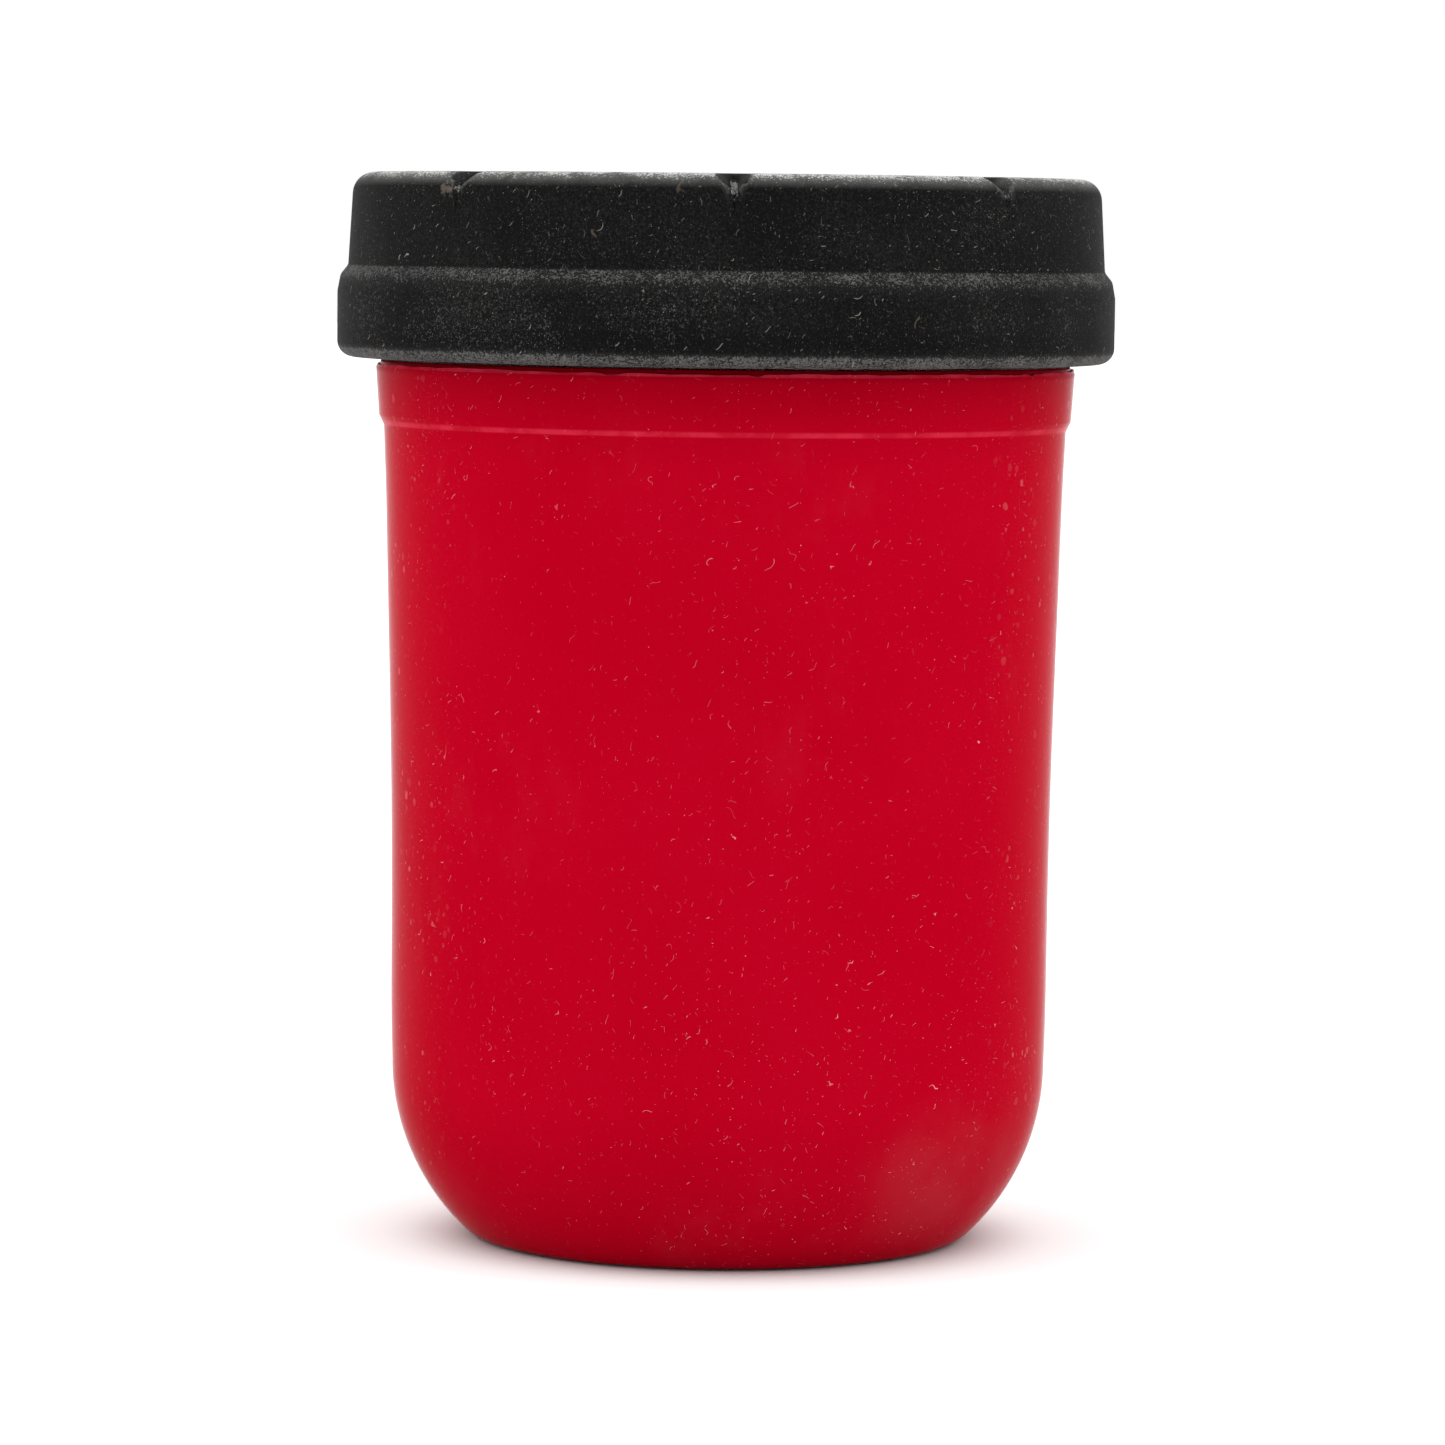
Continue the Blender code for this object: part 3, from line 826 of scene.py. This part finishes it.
def black_silicone():
    n = Nodes("black_silicone_look")
    z = n.height()
    mottle = n.noise(0.24, 3.0, 0.85, 2.0, (1.0, 1.0, 0.8))
    cloud = n.scaled(n.noise(9.0, 2.0, 0.6), 0.22, mottle)
    colour = n.mix(n.step(cloud, 0.54, 0.86), BLACK_DEEP, BLACK)
    wiped = n.band(z, 94.8, 95.3, 95.9, 97.4)
    colour = n.mix(n.times(wiped, 0.5), colour, BLACK_WIPED)
    ragged = n.minus(n.noise(0.55, 2.0, 0.6, 15.0), 0.5)
    crowd = n.step(n.noise(11.0, 3.0, 0.6, 12.0), 0.38, 0.66)
    colour = black_powder(n, z, colour, ragged, crowd)
    colour, dust = black_dust(n, colour, crowd)
    dirt = n.step(n.scaled(ragged, 3.0, n.away_from(DIRT_PLACE)), 0.95, 0.3)
    colour = n.mix(n.times(dirt, 0.11), colour, DIRT)
    normal = n.bump(mottle, 0.03, 0.8)
    normal = n.bump(n.noise(3.5, 2.0, 0.5, 3.0), 0.05, 0.5, normal)
    normal = n.bump(dust, 0.06, 0.8, normal)
    rough = n.scaled(dust, 0.25, 0.55)
    return n.set(Base_Color=colour, Roughness=rough, Normal=normal, Specular_IOR_Level=BLACK_SHINE)


# ---------------------------------------------------------------- the other materials


def clear_glass():
    n = Nodes("clear_glass_look")
    ripple = n.noise(14.0, 2.0, 0.5)
    seeds = n.dots(9.0, 0.25, 0.10)
    normal = n.bump(ripple, 0.10, 0.35)
    normal = n.bump(seeds, 0.05, 0.5, normal)
    return n.set(
        Base_Color=n.mix(n.step(ripple, 0.3, 0.7), (0.72, 0.83, 0.79), (0.77, 0.86, 0.825)),
        Roughness=n.step(n.noise(5.0, 3.0, 0.5, 2.0), 0.4, 0.8, 0.01, 0.05),
        IOR=1.5,
        Transmission_Weight=1.0,
        Normal=normal,
    )


def moulded_plastic(name, dark, light, rough):
    n = Nodes(name)
    cloud = n.noise(6.0, 3.0, 0.55)
    scuffs = n.step(n.noise(0.9, 3.0, 0.6, 4.0, (1.0, 1.0, 6.0)), 0.62, 0.74)
    colour = n.mix(n.step(cloud, 0.3, 0.7), dark, light)
    colour = n.mix(n.times(scuffs, 0.15), colour, tuple(0.5 + 0.4 * c for c in light))
    normal = n.bump(n.noise(0.18, 2.0, 0.6), 0.012, 0.6)
    return n.set(
        Base_Color=colour,
        Roughness=n.scaled(scuffs, 0.12, rough),
        Normal=normal,
        Specular_IOR_Level=0.5,
    )


def seal_silicone():
    n = Nodes("seal_silicone_look")
    cloud = n.noise(4.0, 3.0, 0.55)
    specks = n.dots(1.4, 0.16, 0.18)
    colour = n.mix(n.step(cloud, 0.3, 0.7), (0.72, 0.72, 0.68), (0.80, 0.80, 0.76))
    colour = n.mix(n.times(specks, 0.3), colour, (0.45, 0.42, 0.38))
    return n.set(
        Base_Color=colour,
        Roughness=n.step(cloud, 0.3, 0.7, 0.5, 0.6),
        Normal=n.bump(n.noise(0.25, 2.0, 0.6), 0.015, 0.6),
        Subsurface_Weight=0.15,
        Specular_IOR_Level=0.35,
    )


def spring_steel():
    n = Nodes("spring_steel_look")
    grain = n.noise(0.3, 3.0, 0.6, 0.0, (1.0, 1.0, 8.0))
    colour = n.mix(n.step(n.noise(4.0, 3.0, 0.5, 3.0), 0.4, 0.7), (0.55, 0.56, 0.57), (0.46, 0.46, 0.46))
    return n.set(
        Base_Color=colour,
        Metallic=1.0,
        Roughness=n.step(grain, 0.3, 0.7, 0.22, 0.38),
        Normal=n.bump(grain, 0.01, 0.5),
    )


def floor_material():
    n = Nodes("floor_look")
    shade = n.step(n.noise(300.0, 2.0, 0.5), 0.3, 0.7, FLOOR_DARK, FLOOR_LIGHT)
    colour = n.mix(shade, (0.0, 0.0, 0.0), (1.0, 1.0, 1.0))
    return n.set(Base_Color=colour, Roughness=0.9, Specular_IOR_Level=0.0)


def recoat(node, material):
    obj = bpy.data.objects[node]
    obj.data.materials.clear()
    obj.data.materials.append(material)


# ---------------------------------------------------------------- stage


def make_floor():
    mesh = bmesh.new()
    bmesh.ops.create_grid(mesh, x_segments=8, y_segments=8, size=FLOOR_SIZE)
    data = bpy.data.meshes.new("floor")
    mesh.to_mesh(data)
    mesh.free()
    floor = bpy.data.objects.new("floor", data)
    floor.location = (0, 0, -FLOOR_DROP)
    bpy.context.scene.collection.objects.link(floor)
    data.materials.append(floor_material())


def area_light(name, place):
    light = bpy.data.lights.new(name, "AREA")
    light.shape = "RECTANGLE"
    light.size, light.size_y = BOX_SIZE
    light.energy = BOX_WATTS
    obj = bpy.data.objects.new(name, light)
    obj.location = place
    aim = Vector(BOX_AIM) - Vector(place)
    obj.rotation_mode = "QUATERNION"
    obj.rotation_quaternion = aim.to_track_quat("-Z", "Y")
    bpy.context.scene.collection.objects.link(obj)


def make_lights():
    """A white surround that is brighter overhead, and a soft box at each side."""
    world = bpy.data.worlds.new("studio")
    world.use_nodes = True
    tree = world.node_tree
    background = tree.nodes["Background"]
    coords = tree.nodes.new("ShaderNodeTexCoord")
    split = tree.nodes.new("ShaderNodeSeparateXYZ")
    rise = tree.nodes.new("ShaderNodeMapRange")
    rise.interpolation_type = "SMOOTHSTEP"
    rise.inputs["From Min"].default_value = RISE_START
    rise.inputs["From Max"].default_value = RISE_END
    rise.inputs["To Min"].default_value = HORIZON_LIGHT
    rise.inputs["To Max"].default_value = ZENITH_LIGHT
    tree.links.new(coords.outputs["Generated"], split.inputs[0])
    tree.links.new(split.outputs[2], rise.inputs["Value"])
    tree.links.new(rise.outputs[0], background.inputs["Strength"])
    background.inputs["Color"].default_value = (1.0, 1.0, 1.0, 1.0)
    bpy.context.scene.world = world
    x, y, z = BOX_PLACE
    for name, place in (("left_box", (-x, y, z)), ("right_box", (x, y, z))):
        area_light(name, place)


def make_camera():
    """At the photograph's angle: level with the lid's upper tier, looking a little down."""
    cam = bpy.data.cameras.new("camera")
    cam.lens = CAMERA_LENS
    cam.sensor_width = CAMERA_SENSOR
    cam.clip_start, cam.clip_end = 0.05, 50.0
    obj = bpy.data.objects.new("camera", cam)
    turn = Matrix.Rotation(math.pi / 2 - CAMERA_PITCH, 4, "X") @ Matrix.Rotation(CAMERA_ROLL, 4, "Z")
    obj.matrix_world = Matrix.Translation(CAMERA_PLACE) @ turn
    bpy.context.scene.collection.objects.link(obj)
    bpy.context.scene.camera = obj


def main():
    make_sleeve(red_silicone())
    make_glass(clear_glass())
    make_cover(black_silicone())
    recoat("inner_cap", moulded_plastic("inner_cap_look", (0.030, 0.030, 0.032), (0.040, 0.040, 0.042), 0.40))
    recoat("outer_cap", moulded_plastic("outer_cap_look", (0.024, 0.024, 0.026), (0.032, 0.032, 0.034), 0.44))
    recoat("seal_disc", moulded_plastic("seal_disc_look", (0.80, 0.80, 0.78), (0.87, 0.87, 0.85), 0.38))
    recoat("seal_gasket", seal_silicone())
    recoat("spring_ring", spring_steel())
    make_floor()
    make_lights()
    make_camera()
    bpy.context.scene.view_settings.view_transform = "Standard"


main()
